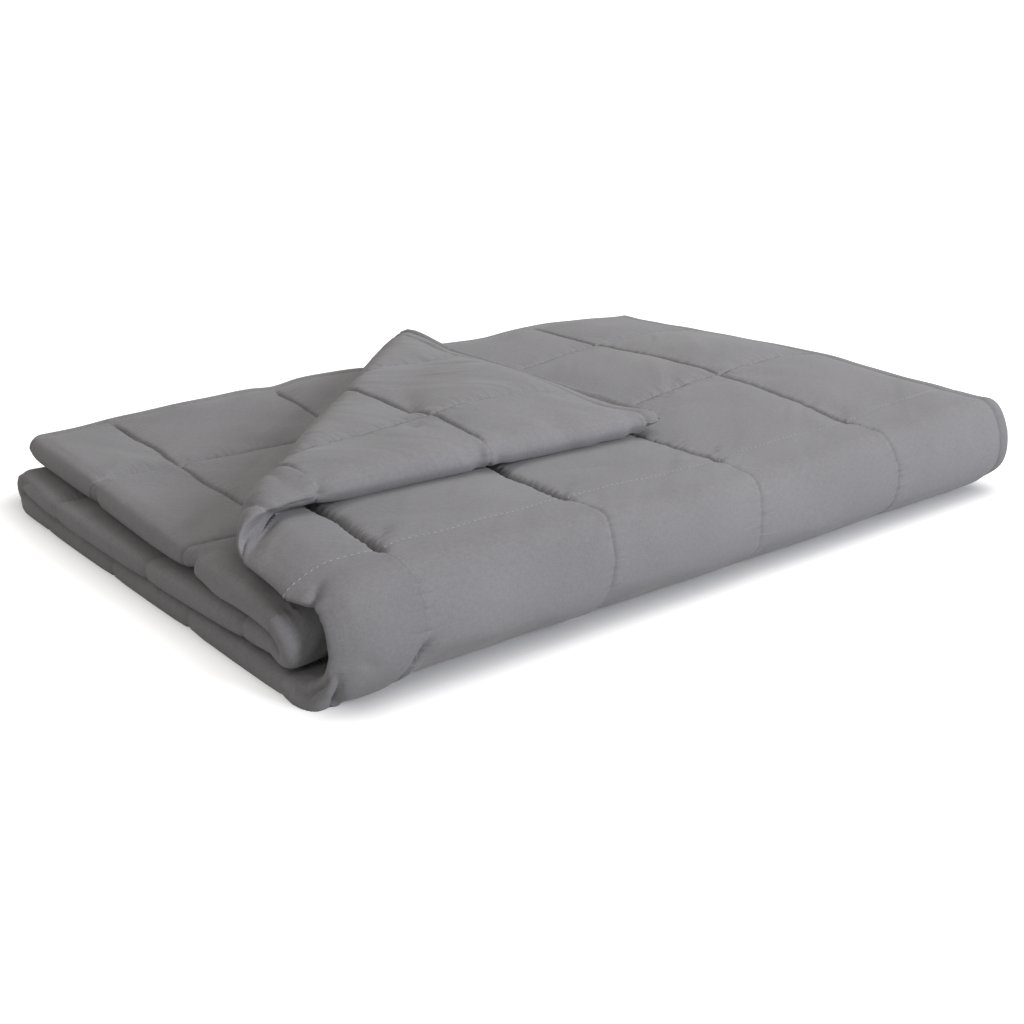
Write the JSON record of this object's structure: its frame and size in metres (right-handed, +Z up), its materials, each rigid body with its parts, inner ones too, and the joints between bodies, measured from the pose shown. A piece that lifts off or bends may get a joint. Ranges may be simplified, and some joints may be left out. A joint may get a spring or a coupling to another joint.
{
  "type": "folded weighted blanket",
  "caption": "Quilted weighted blanket folded to a low oblong packet, its cloth in back-and-forth layers, with a top corner turned back over the fold to lie on the top.",
  "frame": {"origin": "centre of the packet's bounding box in plan, at the surface it lies on", "axes": "+X along the packet's long side, from the folded left end to the hemmed right end; +Y from the rounded front fold to the back; +Z up"},
  "size_m": [0.6007, 0.4272, 0.0948],
  "materials": {
    "quilted_cloth": "matte grey plain-woven cotton, quilted in squares over a fine heavy fill"
  },
  "bodies": {
    "root": {"quilted_blanket": "quilted_cloth"}
  },
  "joints": []
}
